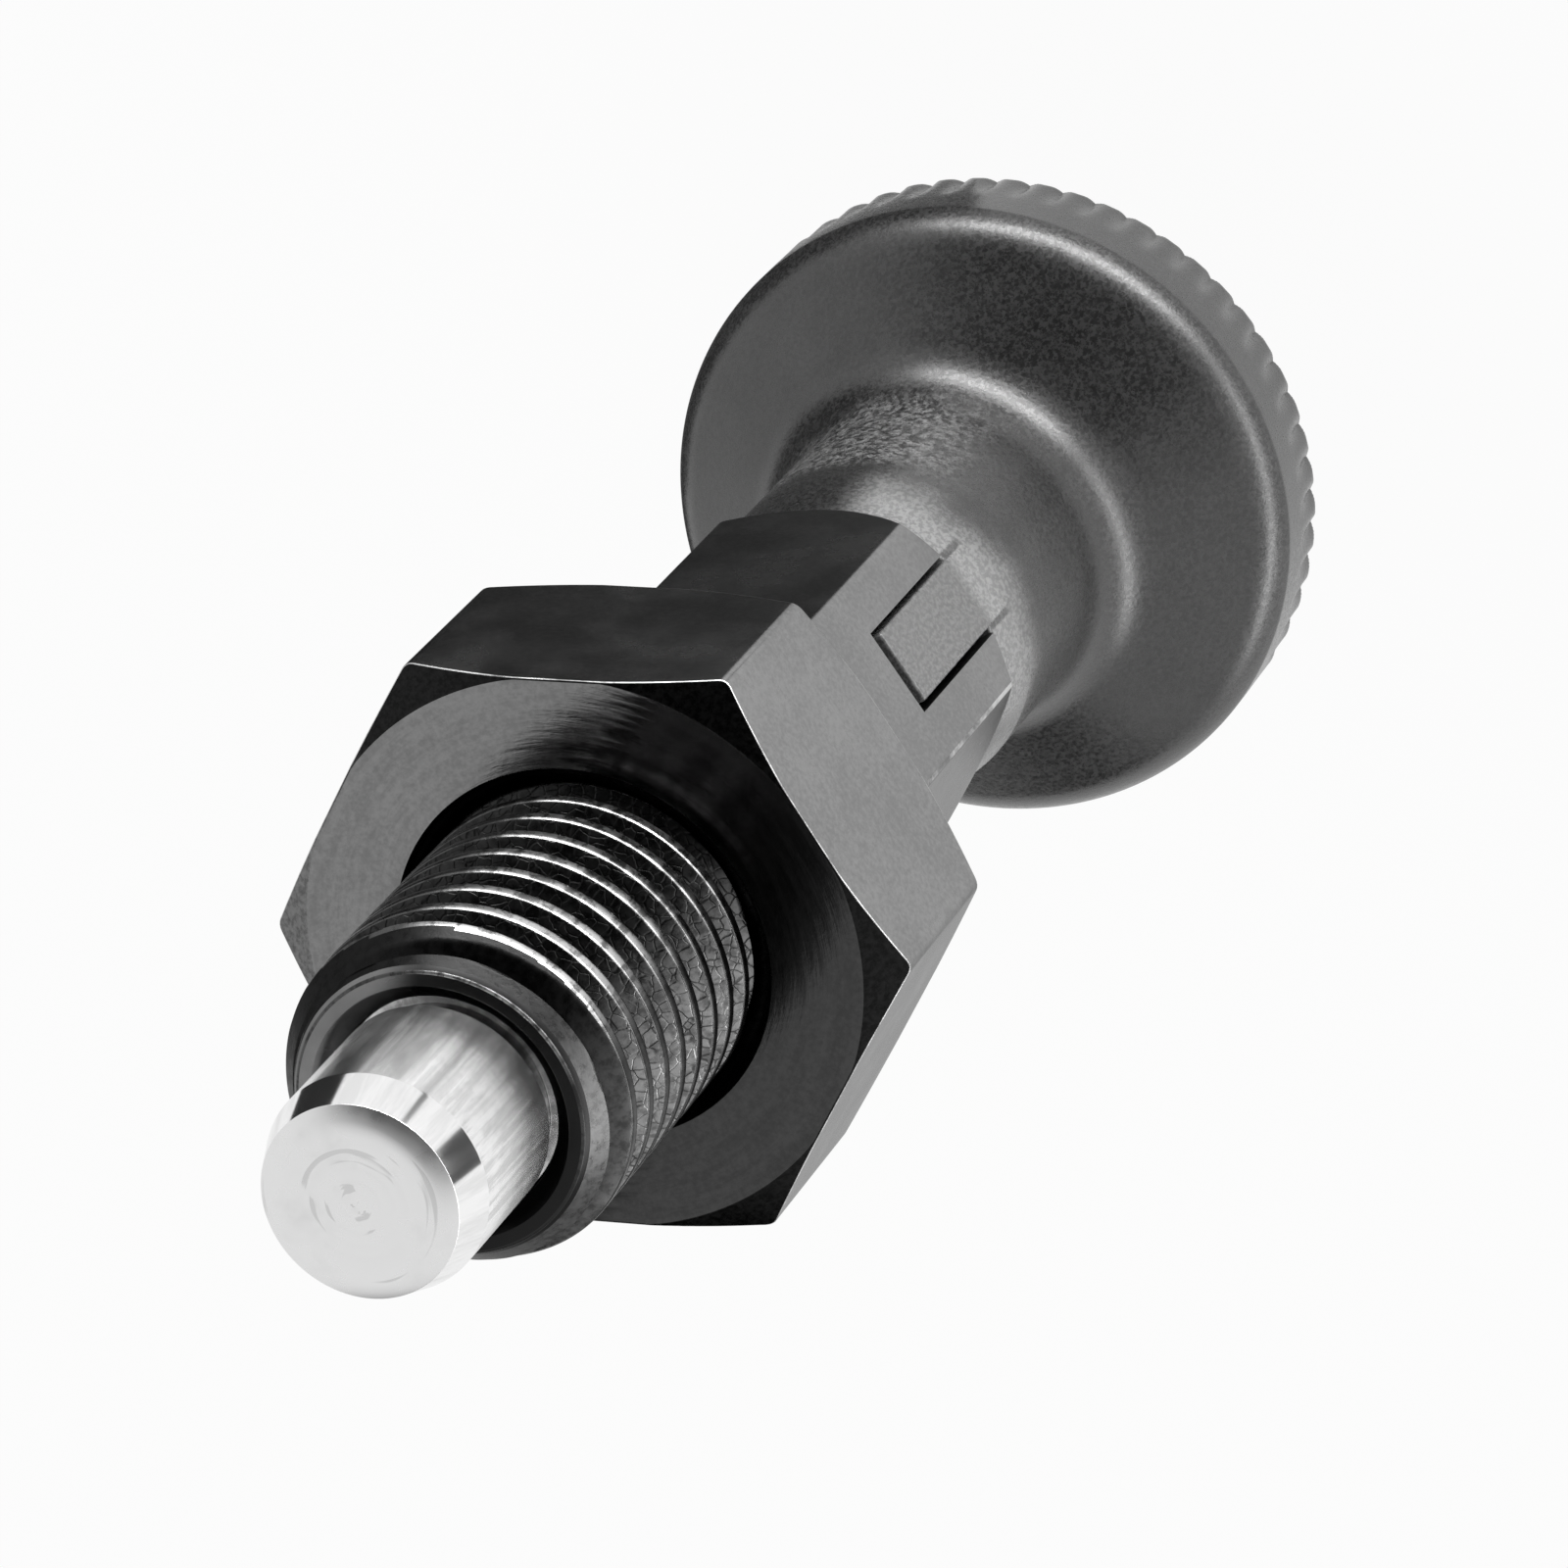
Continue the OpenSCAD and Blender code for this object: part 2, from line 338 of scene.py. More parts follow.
def faced_black_steel(graph):
    """Turned face of the nut under black oxide: ring marks in ragged arcs. Painted shade, a dark
    reflection, covers it but for one side, and a faint painted light comes back on the far side.
    """
    place = graph.place()
    arcs = graph.noise(graph.round_axis(2.2, 4200, 0), 1.0, 4, 0.65)
    specks = graph.noise(place, 6500, 3, 0.7)
    # Painted reflection: dark but for a ragged-edged side toward azimuth 110, with faint painted
    # light on the opposite side.
    ragged = graph.times(graph.math("SUBTRACT", arcs, 0.5), 3.8 * MM)
    across = graph.math("ADD", graph.along(place, direction(110, 0)), ragged)
    painted_lit_side = graph.ramp(across, 2.1 * MM, 2.9 * MM, 0.14, 1.0)
    painted_far_light = graph.ramp(across, -4.4 * MM, -3.1 * MM, 0.14, 0.0)
    tone = graph.ramp(graph.weigh(arcs, specks, 0.5), 0.34, 0.66, 0.7, 1.0)
    colour = graph.grey(graph.times(tone, graph.math("ADD", painted_lit_side, painted_far_light)), 0.0, 0.25)
    roughness = graph.ramp(arcs, 0.3, 0.7, 0.12, 0.22)
    normal = graph.bump(arcs, 0.012 * MM, 0.6, graph.bump(specks, 0.004 * MM, 0.5))
    return brushed(graph, metal(principled(graph, colour, roughness, normal)), 0.5)


def painted_shade_steel(graph):
    """Black oxide on the nut's chamfers, with painted shade that leaves it nearly black but for the
    side toward azimuth 148.
    """
    place = graph.place()
    specks = graph.noise(place, 6500, 3, 0.7)
    # Painted shade: nearly black but for the lit side toward azimuth 148.
    painted_lit_corner = graph.ramp(graph.along(place, direction(148, 0)), 4.6 * MM, 6.2 * MM, 0.1, 1.0)
    colour = graph.grey(graph.times(graph.ramp(specks, 0.3, 0.7, 0.5, 1.0), painted_lit_corner), 0.0, 0.22)
    roughness = graph.ramp(specks, 0.3, 0.7, 0.24, 0.34)
    return metal(principled(graph, colour, roughness, graph.bump(specks, 0.004 * MM, 0.5)))


def thread_steel(graph):
    """Black oxide on the thread: a crazed dry skin with cut marks along the helix. Painted shade
    darkens it toward +Y and on the nose cone, which is plain."""
    place = graph.place()
    marks = graph.noise(graph.round_axis(3.0, 5000, 5000), 1.0, 3, 0.6)
    chips = graph.noise(place, 3600, 4, 0.65)
    height = graph.along(place, (0, 0, 1))
    cells = graph.cracks(graph.shaken(place, 1800, 0.25 * MM), 3600, 0.09)
    cells = graph.math("MAXIMUM", cells, graph.ramp(height, FACE_Z - 1.6 * MM, FACE_Z - 1.2 * MM))
    patches = graph.ramp(graph.noise(place, 1300, 3, 0.6), 0.42, 0.6, 0.35, 1.0)
    crazed = graph.math("MAXIMUM", cells, patches)
    # Painted shade: darker toward +Y, and darker on the nose cone.
    painted_shade_toward_y = graph.ramp(graph.along(place, (0, 1, 0)), -2.2 * MM, 1.2 * MM, 1.0, 0.1)
    nose = graph.ramp(height, FACE_Z - 1.4 * MM, FACE_Z - 0.9 * MM, 1.0, 0.3)
    tone = graph.times(crazed, graph.ramp(chips, 0.34, 0.62, 0.45, 1.0), graph.times(painted_shade_toward_y, nose))
    colour = graph.grey(tone, 0.01, 0.32)
    roughness = graph.ramp(chips, 0.3, 0.7, 0.24, 0.36)
    rough = graph.bump(graph.math("ADD", cells, chips), 0.012 * MM, 0.6)
    return metal(principled(graph, colour, roughness, graph.bump(marks, 0.006 * MM, 0.6, rough)))


def crest_steel(graph):
    """Thread crests, rubbed bright in long broken patches, with a painted highlight that keeps them
    bright only on the side toward +X and +Y.
    """
    place = graph.place()
    rubbed = graph.noise(graph.round_axis(7.0, 300, 300), 1.0, 3, 0.6)
    chips = graph.noise(place, 5200, 3, 0.7)
    # Painted highlight: the crests are bright only toward +Y and +X.
    front = graph.ramp(graph.along(place, (0, 1, 0)), -1.0 * MM, 1.3 * MM, 0.05, 1.0)
    back = graph.ramp(graph.along(place, (1, 0, 0)), 1.2 * MM, 2.8 * MM, 0.08, 1.0)
    tone = graph.ramp(graph.weigh(rubbed, chips, 0.7), 0.42, 0.54, 0.25, 1.0)
    colour = graph.grey(graph.times(tone, graph.times(front, back)), 0.03, 0.8)
    return metal(principled(graph, colour, graph.ramp(chips, 0.3, 0.7, 0.25, 0.35)), 0.8)


def worn_edge(graph):
    """Edges where the black finish is rubbed through to bright steel in places."""
    rubbed = graph.noise(graph.place(), 420, 3, 0.6)
    chips = graph.noise(graph.place(), 4200, 3, 0.7)
    colour = graph.grey(graph.ramp(graph.weigh(rubbed, chips, 0.7), 0.38, 0.58), 0.2, 0.7)
    return metal(principled(graph, colour, graph.ramp(chips, 0.3, 0.6, 0.4, 0.28)), 0.8)


def bright_steel(graph):
    """Ground bright steel of the pin: fine marks round the axis that draw its reflections out
    along it, streaks rubbed along it, and faint blotches."""
    rings = graph.noise(graph.round_axis(1.2, 9000, 7000), 1.0, 3, 0.6)
    blotches = graph.noise(graph.round_axis(5.0, 900, 900), 1.0, 4, 0.65)
    streaks = graph.noise(graph.round_axis(11.0, 300, 150), 1.0, 3, 0.6)
    colour = graph.grey(graph.ramp(graph.weigh(streaks, blotches, 0.6), 0.4, 0.56), 0.7, 0.94)
    roughness = graph.ramp(blotches, 0.3, 0.7, 0.27, 0.21)
    shader = metal(principled(graph, colour, roughness, graph.bump(rings, 0.003 * MM, 0.5)), 0.9)
    return brushed(graph, shader, 0.88)


def polished_steel(graph):
    """Lead-in taper of the pin, smoother than the ground length, with faint stains."""
    stains = graph.noise(graph.round_axis(6.0, 500, 500), 1.0, 4, 0.65)
    colour = graph.grey(graph.ramp(stains, 0.32, 0.6), 0.8, 0.93)
    return metal(principled(graph, colour, graph.ramp(stains, 0.3, 0.7, 0.15, 0.09)), 0.9)


def faced_steel(graph):
    """Bright turned face of the pin's tip: pale and satin, with faint rings round the centre."""
    rings = graph.noise(graph.round_axis(0.5, 4200, 0), 1.0, 2, 0.5)
    clouds = graph.noise(graph.place(), 900, 3, 0.6)
    tone = graph.weigh(graph.ramp(rings, 0.34, 0.4), clouds, 0.35)
    colour = graph.grey(graph.ramp(tone, 0.3, 0.7), 0.68, 0.86)
    roughness = graph.ramp(clouds, 0.3, 0.7, 0.24, 0.32)
    return metal(principled(graph, colour, roughness, graph.bump(rings, 0.003 * MM, 0.6)), 0.9)


def rubbed_pale_and_groove_shade(graph, x, y, z, wavy):
    """How far the knob is rubbed pale: in a band that ends at the sleeve, on the two sides with the
    lugs, but for dark lines beside the lugs, painted shade standing in for the shallow grooves that
    the edges of the slots press into it."""
    band = graph.ramp(wavy, HEX_END_Z - 2.8 * MM, HEX_END_Z - 0.4 * MM)
    lugs = graph.ramp(z, HEX_END_Z - 0.2 * MM, HEX_END_Z + 0.3 * MM, 1.0, 0.5)
    sides = graph.ramp(graph.size(x), 2.0 * MM, 3.0 * MM)
    # Painted shade: dark lines beside the lugs, in place of the shade of grooves.
    beside = graph.size(graph.math("SUBTRACT", graph.size(y), LUG_W / 2 + 0.07 * MM))
    painted_groove_shade = graph.times(
        graph.ramp(beside, 0.05 * MM, 0.12 * MM, 0.7, 0.0),
        graph.ramp(wavy, HEX_END_Z - 1.2 * MM, HEX_END_Z - 0.8 * MM),
        graph.ramp(z, HEX_END_Z - 0.1 * MM, HEX_END_Z, 1.0, 0.0),
    )
    return graph.math("SUBTRACT", graph.times(band, lugs, sides), painted_groove_shade, clamp=True)


def scuffed_plastic(graph, y, wavy, pits):
    """How far the grain of the knob is scuffed pale, on the +Y side of the hub."""
    return graph.times(
        graph.ramp(y, 1.4 * MM, 3.4 * MM),
        graph.ramp(wavy, HEX_END_Z - 2.2 * MM, HEX_END_Z - 3.6 * MM),
        graph.ramp(wavy, HEX_END_Z - 7.8 * MM, HEX_END_Z - 6.2 * MM),
        graph.ramp(pits, 0.42, 0.58, 0.0, 0.75),
    )


def knob_plastic(graph):
    """Dark grey moulded plastic with a fine eroded grain, rubbed and scuffed pale in places."""
    place = graph.place()
    grain = graph.noise(place, 8500, 3, 0.75)
    pits = graph.noise(place, 5200, 4, 0.7)
    clouds = graph.noise(place, 500, 4, 0.65)
    x, y, z = [graph.along(place, axis) for axis in ((1, 0, 0), (0, 1, 0), (0, 0, 1))]
    wavy = graph.math("ADD", z, graph.times(graph.math("SUBTRACT", clouds, 0.5), 2.4 * MM))
    dark = graph.grey(graph.ramp(graph.weigh(clouds, grain, 0.3), 0.32, 0.68), 0.006, 0.036)
    pale = graph.grey(graph.ramp(grain, 0.4, 0.6), 0.15, 0.27)
    # Rubbed paleness, less the painted groove shade beside the lugs.
    rubbed = rubbed_pale_and_groove_shade(graph, x, y, z, wavy)
    worn = graph.math("MAXIMUM", rubbed, scuffed_plastic(graph, y, wavy, pits))
    roughness = graph.ramp(grain, 0.3, 0.7, 0.2, 0.34)
    normal = graph.bump(pits, 0.014 * MM, 0.5, graph.bump(grain, 0.008 * MM, 0.6))
    shader = principled(graph, graph.mix(worn, dark, pale), roughness, normal)
    shader.inputs["Specular IOR Level"].default_value = 0.9
    return shader


def spring_steel(graph):
    """Drawn spring wire, plain grey."""
    marks = graph.noise(graph.place(), 2500, 3, 0.6)
    shader = principled(graph, graph.grey(graph.ramp(marks, 0.3, 0.7), 0.3, 0.42), 0.3)
    shader.inputs["Metallic"].default_value = 1.0
    return shader


BLACK = material_of("black_steel", black_steel)
TURNED = material_of("turned_black_steel", turned_steel)
FACED_BLACK = material_of("faced_black_steel", faced_black_steel)
SHADED_BLACK = material_of("shaded_black_steel", painted_shade_steel)
CREST = material_of("crest_steel", crest_steel)
THREAD = material_of("thread_black_steel", thread_steel)
WORN = material_of("worn_edge_steel", worn_edge)
BRIGHT = material_of("bright_steel", bright_steel)
POLISHED = material_of("polished_bright_steel", polished_steel)
FACED = material_of("faced_bright_steel", faced_steel)
PLASTIC = material_of("knob_plastic", knob_plastic)
WIRE = material_of("spring_wire", spring_steel)

# ------------------------------ mesh helpers

SAME_POINT = 0.0001 * MM


def polar(radius, angle, height):
    """Point at a radius and an angle round the axis, and at a height."""
    return (radius * math.cos(angle), radius * math.sin(angle), height)


def section(corners, steps=4):
    """Points of a section from corners (radius, height, fillet): each corner is rounded by its
    fillet. A point is (radius, height, the number of the corner it rounds, or None)."""
    out = []
    for i, (radius, height, fillet) in enumerate(corners):
        here = Vector((radius, height))
        if fillet == 0:
            out.append((radius, height, None))
            continue
        before = Vector(corners[i - 1][:2]) - here
        after = Vector(corners[i + 1][:2]) - here
        half = before.angle(after) / 2
        reach = min(fillet / math.tan(half), 0.45 * before.length, 0.45 * after.length)
        inward = (before.normalized() + after.normalized()).normalized()
        centre = here + inward * (reach / math.cos(half))
        start = here + before.normalized() * reach - centre
        end = here + after.normalized() * reach - centre
        first = math.atan2(start.y, start.x)
        sweep = (math.atan2(end.y, end.x) - first + math.pi) % TURN - math.pi
        for k in range(steps + 1):
            a = first + sweep * k / steps
            point = centre + start.length * Vector((math.cos(a), math.sin(a)))
            out.append((point.x, point.y, i))
    return out


def on_fillet(start, end):
    """Whether the strip between two section points belongs to one rounded corner."""
    return start[2] is not None and start[2] == end[2]


def upright(start, end):
    """Whether the strip between two section points runs along the axis."""
    return abs(start[0] - end[0]) < 0.05 * abs(start[1] - end[1])


def level(start, end):
    """Whether the strip between two section points lies across the axis."""
    return abs(start[1] - end[1]) < 0.1 * abs(start[0] - end[0])


def piece_of(name, points, faces, finishes, slots=None):
    """A smooth-shaded object from points and faces, with one finish index for each face."""
    mesh = bpy.data.meshes.new(name)
    mesh.from_pydata([tuple(p) for p in points], [], faces)
    for material in finishes:
        mesh.materials.append(material)
    if slots is not None:
        mesh.polygons.foreach_set("material_index", slots)
    mesh.polygons.foreach_set("use_smooth", [True] * len(mesh.polygons))
    mesh.update()
    made = bpy.data.objects.new(name, mesh)
    bpy.context.scene.collection.objects.link(made)
    return made


def tidy(piece, sharp=None):
    """Merges points that coincide, drops faces with no area and turns the normals outwards. Edges
    sharper than an angle may stay sharp."""
    bm = bmesh.new()
    bm.from_mesh(piece.data)
    bmesh.ops.remove_doubles(bm, verts=bm.verts, dist=SAME_POINT)
    bmesh.ops.dissolve_degenerate(bm, edges=bm.edges, dist=SAME_POINT)
    bmesh.ops.recalc_face_normals(bm, faces=bm.faces)
    bm.to_mesh(piece.data)
    bm.free()
    if sharp is not None:
        piece.data.set_sharp_from_angle(angle=math.radians(sharp))
    return piece


def grid_faces(rows, columns, closed=True):
    """Quads of a grid of points, row by row, closed round its columns."""
    faces = []
    last = columns if closed else columns - 1
    for i in range(rows - 1):
        for j in range(last):
            k = (j + 1) % columns
            a = i * columns
            faces.append((a + j, a + k, a + columns + k, a + columns + j))
    return faces


def lathe(name, points, columns, finishes, finish_at=None, radius_of=None):
    """A section turned round the axis. radius_of(angle, radius, height) may shape it, and
    finish_at(start, end) picks the finish of the ring between two section points."""
    grid = []
    for radius, height, _ in points:
        for j in range(columns):
            a = TURN * j / columns
            r = radius if radius_of is None else radius_of(a, radius, height)
            grid.append(polar(r, a, height))
    slots = None
    if finish_at is not None:
        slots = []
        for start, end in zip(points, points[1:]):
            slots += [finishes.index(finish_at(start, end))] * columns
    return tidy(piece_of(name, grid, grid_faces(len(points), columns), finishes, slots))


def rod(name, radius, low, high, columns):
    """A plain round bar between two heights, which serves as a cutter."""
    points = [(0, low, None), (radius, low, None), (radius, high, None), (0, high, None)]
    return lathe(name, points, columns, [])


def hex_outline(af, corner_round, per_flat, turn=0.0):
    """Outline of a hexagon with two flats facing +X and -X, or turned from there by some degrees,
    and rounded corners. A point is (x, y, corner): corner is the number of the hexagon's corner
    if the strip that starts at the point lies in the corner's middle, and None elsewhere."""
    corner_steps = 4
    half = af / 2 * math.tan(math.radians(30)) - corner_round * math.tan(math.radians(30))
    inner = af / 2 - corner_round
    out = []
    for flat in range(6):
        a = math.radians(60 * flat + turn)
        normal = Vector((math.cos(a), math.sin(a)))
        side = Vector((-normal.y, normal.x))
        for i in range(per_flat + 1):
            p = normal * af / 2 + side * half * (2 * i / per_flat - 1)
            out.append((p.x, p.y, None))
        centre = normal * inner + side * inner * math.tan(math.radians(30))
        for i in range(1, corner_steps):
            b = a + math.radians(60) * i / corner_steps
            corner = flat if i < corner_steps - 1 else None
            x = centre.x + corner_round * math.cos(b)
            y = centre.y + corner_round * math.sin(b)
            out.append((x, y, corner))
    return out


def hex_bar(name, outline, section_of, finishes, finish_at):
    """A hexagonal bar: the section in each direction follows from the outline's radius there, and
    finish_at(start, end, corner) picks the finish of each face."""
    sections = [section(section_of(math.hypot(x, y))) for x, y, _ in outline]
    rows = len(sections[0])
    columns = len(outline)
    grid = []
    for i in range(rows):
        for (x, y, _), points in zip(outline, sections):
            scale = points[i][0] / math.hypot(x, y)
            grid.append((x * scale, y * scale, points[i][1]))
    slots = []
    for i in range(rows - 1):
        for j in range(columns):
            finish = finish_at(sections[j][i], sections[j][i + 1], outline[j][2])
            slots.append(finishes.index(finish))
    return tidy(piece_of(name, grid, grid_faces(rows, columns), finishes, slots))


def block(name, low, high, finishes):
    """A plain box between two corners."""
    return piece_of(
        name,
        [(x, y, z) for z in (low.z, high.z) for y in (low.y, high.y) for x in (low.x, high.x)],
        [(0, 2, 3, 1), (4, 5, 7, 6), (0, 1, 5, 4), (2, 6, 7, 3), (0, 4, 6, 2), (1, 3, 7, 5)],
        finishes,
    )


def side_block(name, side, inner, outer, half_width, low, high, finishes):
    """A box on one side of the axis (side is 1 for +X and -1 for -X), between two distances from
    the axis and two heights."""
    near, far = sorted((inner * side, outer * side))
    return block(name, Vector((near, -half_width, low)), Vector((far, half_width, high)), finishes)


def cut(piece, cutters):
    """Cuts each cutter out of the piece and removes the cutters."""
    for cutter in cutters:
        modifier = piece.modifiers.new("cut", "BOOLEAN")
        modifier.operation = "DIFFERENCE"
        modifier.solver = "EXACT"
        modifier.object = cutter
    bpy.context.view_layer.update()
    made = bpy.data.meshes.new_from_object(piece.evaluated_get(bpy.context.evaluated_depsgraph_get()))
    piece.modifiers.clear()
    piece.data = made
    for cutter in cutters:
        bpy.data.objects.remove(cutter)
    return piece


def bevel_sharp(piece, width, angle, segments):
    """Rounds every edge sharper than an angle. The rounding has the piece's first finish."""
    bm = bmesh.new()
    bm.from_mesh(piece.data)
    limit = math.radians(angle)
    edges = [e for e in bm.edges if e.is_manifold and e.calc_face_angle(0) > limit]
    bmesh.ops.bevel(
        bm,
        geom=edges,
        offset=width,
        segments=segments,
        profile=0.5,
        affect="EDGES",
        clamp_overlap=True,
        material=0,
    )
    bm.to_mesh(piece.data)
    bm.free()
    piece.data.polygons.foreach_set("use_smooth", [True] * len(piece.data.polygons))
    return piece


def even_normals(piece, sharp):
    """Keeps flats flat next to their rounded edges, and edges sharper than an angle sharp."""
    piece.data.set_sharp_from_angle(angle=math.radians(sharp))
    modifier = piece.modifiers.new("even_normals", "WEIGHTED_NORMAL")
    modifier.keep_sharp = True
    modifier.weight = 100


def merged(name, parts):
    """Joins parts into one object; their finishes stay."""
    finishes = []
    points, faces, slots = [], [], []
    for part in parts:
        offset = len(points)
        points.extend(tuple(v.co) for v in part.data.vertices)
        index = []
        for material in part.data.materials:
            if material not in finishes:
                finishes.append(material)
            index.append(finishes.index(material))
        for polygon in part.data.polygons:
            faces.append(tuple(offset + v for v in polygon.vertices))
            slots.append(index[polygon.material_index])
        bpy.data.objects.remove(part)
    return piece_of(name, points, faces, finishes, slots)


# ------------------------------ knob

RIB_COUNT = 57
COLUMNS_PER_RIB = 12
RIB_DEPTH = 0.2 * MM
RIB_FADE_START = 1.4 * MM
RIB_FADE_END = 2.9 * MM
RIB_SOFTNESS = 0.01
# The underside lies where the solid's rim round puts it. The rim itself is crisper: a small round
# that, after some degrees, runs into a wide one
RIM_Z = 4.0 * MM
RIM_ROUND = 0.5 * MM
RIM_EDGE = 0.25 * MM
RIM_TURN = 20
RIM_BLEND = 1.8 * MM
END_FLAT_R = 4.5 * MM
CROWN_Z = 1.6 * MM
EDGE_ROUND = 0.4 * MM
UNDER = math.radians(33)
FLARE_R = 2.5 * MM
HUB_R = 4.15 * MM
HUB_END_R = 3.95 * MM
HUB_TAPER = 1.8 * MM
HUB_ROUND = 0.3 * MM
HUB_EDGE = 0.08 * MM
LUG_ROUND = 0.09 * MM


def ribbed(angle, radius, height):
    """Radius of the knob with its grooves, which run out towards the underside."""
    fade = min(max((RIB_FADE_END - height) / (RIB_FADE_END - RIB_FADE_START), 0), 1)
    fade = fade * fade * (3 - 2 * fade)
    dip = 1 - math.sqrt(math.sin(RIB_COUNT * angle / 2) ** 2 + RIB_SOFTNESS)
    return min(radius, HEAD_R - RIB_DEPTH * fade * dip)


def turned_arc(centre, radius, start, end, steps):
    """Section points of an arc round a centre, from one angle to another in degrees."""
    out = []
    for i in range(steps + 1):
        a = math.radians(start + (end - start) * i / steps)
        out.append((centre[0] + radius * math.cos(a), centre[1] + radius * math.sin(a), None))
    return out


def knob_section():
    """Half of the knob's section: flat, crown, rim, sloping underside, flare and tapered hub. The
    last number of each arc is its number of steps."""
    edge_x = HEAD_R - EDGE_ROUND
    span = edge_x - END_FLAT_R
    crown_r = (span ** 2 + CROWN_Z ** 2 - EDGE_ROUND ** 2) / (CROWN_Z - EDGE_ROUND) / 2
    crown_end = math.degrees(math.atan2(CROWN_Z - crown_r, span))
    slope = (math.sin(UNDER), math.cos(UNDER))
    reach = (HEAD_R - RIM_ROUND) * slope[0] + RIM_Z * slope[1] + RIM_ROUND
    turn = math.radians(RIM_TURN)
    blend_x = HEAD_R - RIM_EDGE - (RIM_BLEND - RIM_EDGE) * math.cos(turn)
    blend_z = (reach - RIM_BLEND - blend_x * slope[0]) / slope[1]
    rim_z = blend_z + (RIM_BLEND - RIM_EDGE) * math.sin(turn)
    under = (blend_x + RIM_BLEND * slope[0], blend_z + RIM_BLEND * slope[1])
    flare_x = HUB_R + FLARE_R
    flare_z = under[1] + (FLARE_R - (flare_x - under[0]) * slope[0]) / slope[1]
    foot = (flare_x - FLARE_R * slope[0], flare_z - FLARE_R * slope[1])
    points = [(0, BASE_Z, None)]
    points += turned_arc((END_FLAT_R, crown_r), crown_r, -90, crown_end, 12)
    points += turned_arc((edge_x, CROWN_Z), EDGE_ROUND, crown_end, 0, 6)[1:]
    points += [(HEAD_R, CROWN_Z + (rim_z - CROWN_Z) * i / 16, None) for i in range(1, 16)]
    points += turned_arc((HEAD_R - RIM_EDGE, rim_z), RIM_EDGE, 0, RIM_TURN, 4)
    points += turned_arc((blend_x, blend_z), RIM_BLEND, RIM_TURN, 90 - math.degrees(UNDER), 12)[1:]
    points += [
        (under[0] + (foot[0] - under[0]) * i / 8, under[1] + (foot[1] - under[1]) * i / 8, None)
        for i in range(1, 8)
    ]
    points += turned_arc((flare_x, flare_z), FLARE_R, 270 - math.degrees(UNDER), 180, 24)
    hub = [
        (HUB_R, flare_z, 0),
        (HUB_R, HEX_END_Z - HUB_TAPER, HUB_ROUND),
        (HUB_END_R, HEX_END_Z, HUB_EDGE),
        (0, HEX_END_Z, 0),
    ]
    return points + section(hub, 5)[1:]


knob_columns = RIB_COUNT * COLUMNS_PER_RIB
knob_body = lathe("knob_turned", knob_section(), knob_columns, [PLASTIC], radius_of=ribbed)
lug_inner, lug_outer = HEX_AF / 2 - LUG_T, HEX_AF / 2
lug_foot_z = HEX_END_Z - HUB_TAPER
lugs = [
    side_block("lug", side, lug_inner, lug_outer, LUG_W / 2, lug_foot_z, LUG_END_Z, [PLASTIC])
    for side in (1, -1)
]
for lug in lugs:
    bevel_sharp(lug, LUG_ROUND, angle=30, segments=3)
knob = merged("knob_moulding", [knob_body] + lugs)
even_normals(knob, sharp=50)
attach(knob, "plunger")
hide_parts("knob")

# ------------------------------ locating pin

TAPER_LEN = 1.1 * MM
TIP_R = PIN_R - TAPER_LEN * math.tan(math.radians(15))
RELIEF_W = 0.6 * MM
RELIEF_R = PIN_R - 0.22 * MM
GUIDE_Z = spring_high.z
SHANK_R = 1.5 * MM
TIP_FALL = 0.17 * MM
TIP_ROUND = 0.02 * MM
TAPER_ROUND = 0.1 * MM
RELIEF_ROUND = 0.03 * MM
GUIDE_ROUND = 0.05 * MM
SHANK_ROUND = 0.2 * MM
PIN_COLUMNS = 192
# How far from the tip the finishes of its face and of its taper reach
FACED_LEN = 0.2 * MM
POLISHED_LEN = TAPER_LEN + 0.04 * MM

# Radius and depth of the tip's face, in mm: shallow turning rings, then the fall to its edge
tip_rings = [
    (0.0, 0.004), (0.03, 0.003), (0.06, 0.0), (0.27, 0.0), (0.3, 0.0012),
    (0.34, 0.0), (0.54, 0.0), (0.57, 0.003), (0.62, 0.0), (0.84, 0.0),
    (0.87, 0.0028), (0.92, 0.0004), (1.12, 0.001), (1.15, 0.0042), (1.2, 0.0016),
    (1.45, 0.004), (1.5, 0.007), (1.56, 0.008), (1.72, 0.022), (1.88, 0.055),
    (2.04, 0.108),
]
pin_corners = [(radius * MM, TIP_Z - depth * MM, 0) for radius, depth in tip_rings]
pin_corners += [
    (TIP_R, TIP_Z - TIP_FALL, TIP_ROUND),
    (PIN_R, TIP_Z - TAPER_LEN, TAPER_ROUND),
    (PIN_R, FACE_Z, RELIEF_ROUND),
    (RELIEF_R, FACE_Z, RELIEF_ROUND),
    (RELIEF_R, FACE_Z - RELIEF_W, RELIEF_ROUND),
    (PIN_R, FACE_Z - RELIEF_W, RELIEF_ROUND),
    (PIN_R, GUIDE_Z, GUIDE_ROUND),
    (SHANK_R, GUIDE_Z, GUIDE_ROUND),
    (SHANK_R, pin_low.z, SHANK_ROUND),
    (0, pin_low.z, 0),
]


def pin_finish(start, end):
    """Finish of a ring of the pin: its face is turned, its taper polished and the rest ground."""
    depth = TIP_Z - min(start[1], end[1])
    if depth < FACED_LEN:
        return FACED
    return POLISHED if depth < POLISHED_LEN else BRIGHT


pin_finishes = [BRIGHT, FACED, POLISHED]
pin = lathe("pin_turned", section(pin_corners), PIN_COLUMNS, pin_finishes, pin_finish)
even_normals(pin, sharp=50)
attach(pin, "plunger")
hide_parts("plunger_pin")

# ------------------------------ spring

WIRE_D = 0.5 * MM
SPRING_TURNS = 10
CLOSED_RISE = 1.06 * WIRE_D
WIRE_SIDES = 14
WIRE_STEPS = SPRING_TURNS * 60


